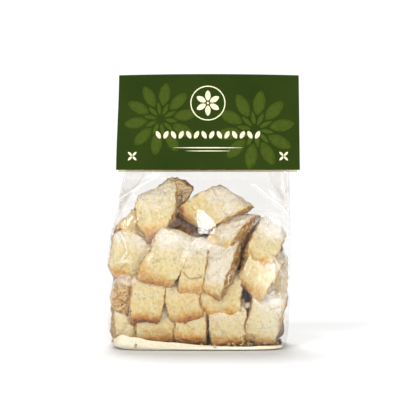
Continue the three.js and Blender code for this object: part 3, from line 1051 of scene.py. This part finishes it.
def filmStart():
    # rings round the bag: stations of a square, swelled to a superellipse; side folds pull the middle in
    def steps(low, high, count):
        # even steps, the last one left out
        return np.linspace(low, high, count, endpoint=False)

    front, side, back = film["front"], film["side"], film["back"]
    p = np.concatenate([steps(-1, 1, front), np.ones(side), steps(1, -1, back), -np.ones(side)])
    q = np.concatenate([-np.ones(front), steps(-1, 1, side), np.ones(back), steps(1, -1, side)])
    lower = np.linspace(0, np.pi / 2, film["baseLevels"])
    z = np.concatenate([
        bag["baseRound"] * (1 - np.cos(lower)),
        np.linspace(bag["baseRound"], bag["neckStart"], film["levels"])[1:],
        np.linspace(bag["neckStart"], bag["finTop"], film["neckLevels"])[1:],
    ])[:, None]
    n = squareness(z)
    scale = (np.abs(p) ** n + np.abs(q) ** n) ** (-1 / n)
    below = np.clip(bag["baseRound"] - z, 0, None)
    inset = bag["baseRound"] - np.sqrt(bag["baseRound"] ** 2 - below**2)
    left, right = along(bag["leftEdge"], z) + inset, along(bag["rightEdge"], z) - inset
    fold = np.where(np.abs(p) == 1, along(bag["gusset"], z) * (1 - np.abs(q)), 0)
    x = (left + right) / 2 + p * scale * (right - left) / 2 - np.sign(p) * fold
    y = q * scale * (bagHalfDepth(z) - inset)
    return np.stack([x, y, z + 0 * p], -1)


def pull(first, second, rest, stiff, freeFirst, freeSecond):
    # moves two sets of points along the line between them, to bring it to its rest length
    line = second - first
    length = np.sqrt((line**2).sum(-1)) + 1e-9
    total = freeFirst + freeSecond
    share = stiff * (length - rest) / length / np.maximum(total, 1e-9)
    return line * (share * freeFirst)[..., None], -line * (share * freeSecond)[..., None]


def solveFilm(points, maps):
    # position-based cloth: edges, diagonals and two-step spans keep their length, the heap pushes out,
    # and a slight suction draws the film in between; every other span moves first, then the rest
    free = np.ones(points.shape[:2])
    free[points[..., 2] > bag["neckStart"] + 3] = 0
    free[points[..., 2] < 0.8] = 0
    rows, columns = free.shape
    spans = []
    for rowStep, columnStep, stiff in film["spans"]:
        lower, upper = slice(0, rows - rowStep), slice(rowStep, rows)
        ahead = np.roll(points, -columnStep, 1)[upper]
        rest = np.linalg.norm(ahead - points[lower], axis=-1) * film["slack"]
        if rowStep:
            turn = (np.arange(rows - rowStep) // rowStep % 2)[:, None, None]
        else:
            turn = (np.arange(columns) // columnStep % 2)[:, None]
        spans.append((lower, upper, columnStep, stiff, rest, turn))
    depth = np.abs(points[..., 1])
    panel = ease(depth / depth.max(1)[:, None], 0.9, 1)
    suction = np.sign(points[..., 1]) * film["suction"] * free * panel
    for _ in range(film["rounds"]):
        points[..., 1] -= suction
        for lower, upper, columnStep, stiff, rest, turn in spans:
            freeAhead = np.roll(free, -columnStep, 1)[upper]
            for parity in range(2):
                ahead = np.roll(points, -columnStep, 1)[upper]
                move, moveAhead = pull(points[lower], ahead, rest, stiff, free[lower], freeAhead)
                points[lower] += move * (turn == parity)
                change = np.zeros(points.shape)
                change[upper] = moveAhead * (turn == parity)
                points += np.roll(change, columnStep, 1)
        points = pushedOut(points, maps, free)
    return pushedOut(ironed(points, free), maps, free)


def pushedOut(points, maps, free):
    # a point inside the heap's hull leaves it by the nearest of its four sides
    depths = []
    for (axis, sign), heap in maps.items():
        column = (points[..., 1 - axis] + heapMap["halfSpan"][1 - axis]) / heapMap["cell"]
        reach = sampled(heap, column, points[..., 2] / heapMap["cell"])
        depths.append(reach - sign * points[..., axis] + film["margin"])
    nearest, depth = np.argmin(depths, 0), np.min(depths, 0)
    move = np.where(depth > 0, depth, 0) * free
    for number, (axis, sign) in enumerate(maps):
        points[..., axis] += np.where(nearest == number, sign * move, 0)
    points[..., 2] = np.maximum(points[..., 2], 0.05)
    return points


def ironed(points, free):
    # each point moves half way to the middle of its four neighbours, a few times over
    for _ in range(film["ironing"]):
        middle = (np.roll(points, 1, 1) + np.roll(points, -1, 1)) / 2
        middle[1:-1] = (middle[1:-1] + (points[2:] + points[:-2]) / 2) / 2
        points = points + 0.5 * free[..., None] * (middle - points)
    return points


def toSegment(x, z, start, end):
    # distance from each point to the stretch between two points
    line = np.array(end, float) - start
    share = np.clip(((x - start[0]) * line[0] + (z - start[1]) * line[1]) / (line @ line), 0, 1)
    return np.hypot(x - start[0] - share * line[0], z - start[1] - share * line[1])


def toRoute(x, z, route):
    # distance to the nearest of a route's stretches
    return np.min([toSegment(x, z, *ends) for ends in zip(route[:-1], route[1:])], axis=0)


def creased(points):
    # facets become planes of a set slope just before the film; folds rise as exp(-(distance / width)^2)
    x, y, z = points[..., 0], points[..., 1], points[..., 2]
    facing = ease(-y / bagHalfDepth(z), 0.55, 0.8)
    for corners, fullness in facets:
        corners = np.array(corners)
        centre = corners.mean(0)
        inside = np.full(x.shape, 99.0)
        for first, second in zip(corners, np.roll(corners, -1, 0)):
            line = (second - first) / np.linalg.norm(second - first)
            inside = np.minimum(inside, (z - first[1]) * -line[0] + (x - first[0]) * line[1])
        across, up = np.array(film["lean"]) * fullness
        rise = across * (x - centre[0]) + up * (z - centre[1])
        within = (inside > 0) & (y < 0)
        level = (y - rise)[within].min()
        share = ease(inside, -1.6, 0.6) * facing
        y = y + share * (level + rise - y)
    for route, height, width in creases:
        y = y - height * facing * np.exp(-((toRoute(x, z, route) / width) ** 2))
    return np.stack([x, y, z], -1)


def hazed(points):
    # painted glare, as a share of white on the front: the largest of the glare patches' share *
    # exp(-across^2 - up^4) and of the folds' share * height * exp(-(distance / width)^2)
    white = np.zeros(len(points))
    for x, z, halfWidth, halfHeight, share in hazes:
        across, up = (points[:, 0] - x) / halfWidth, (points[:, 2] - z) / halfHeight
        white = np.maximum(white, share * np.exp(-(across**2) - up**4))
    for route, height, _ in creases:
        fold = np.exp(-((toRoute(points[:, 0], points[:, 2], route) / paintedCreaseGlare["width"]) ** 2))
        white = np.maximum(white, paintedCreaseGlare["share"] * height * fold)
    return white * ease(-points[:, 1], 8, 20)


def filmMaterial():
    # clear, mirroring more at a slant, and white where glare is painted on; a touch clearer at the sides
    shader = Shader("clearFilm")
    crinkle = shader.times(shader.noise(340, 3, 0.6), 0.5, shader.noise(120))
    normal = shader.bump(crinkle, 0.6, 0.0005)
    tone = shader.mix(shader.attribute("side"), [0.938, 0.930, 0.916], [0.985, 0.983, 0.978])
    clear = shader.add("BsdfTransparent", {"Color": tone})
    rough = shader.remap(shader.noise(60, 3), 0.35, 0.65, 0.06, 0.14)
    gloss = shader.add("BsdfGlossy", {"Color": [1, 1, 1], "Roughness": rough, "Normal": normal})
    share = shader.remap(shader.add("LayerWeight", {"Blend": 0.22}, "Fresnel"), 0, 1, 0.03, 0.32)
    mixed = shader.add("MixShader", {0: share, 1: clear, 2: gloss})
    # painted glare: a white diffuse layer mixed in where the film glints
    haze = shader.times(shader.attribute("haze"), shader.remap(crinkle, 0.6, 0.9, 0.55, 1))
    white = shader.add("BsdfDiffuse", {"Color": [0.93, 0.92, 0.90], "Normal": normal})
    put(shader.surface, shader.add("MixShader", {0: haze, 1: mixed, 2: white}))
    return shader.material


def buildFilm():
    # rings round the bag fitted to the heap, given facets and folds, and closed; side is 1 on the gussets
    heap = np.concatenate(allSlices)
    maps = {(axis, sign): reachMap(heap, axis, sign) for axis in (1, 0) for sign in (-1, 1)}
    points = filmStart()
    points = solveFilm(points, maps)
    shape = closedRings(creased(points))
    points = shape[0]
    side = 1 - ease(np.abs(points[:, 1]) / bagHalfDepth(points[:, 2]), 0.75, 0.95)
    # the painted glare goes to the film's material as an attribute
    piece = makeMesh("clearFilm", shape, "filled_bag", filmMaterial(), haze=hazed(points), side=side)
    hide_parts("filled_bag")


buildFilm()
print("film built")
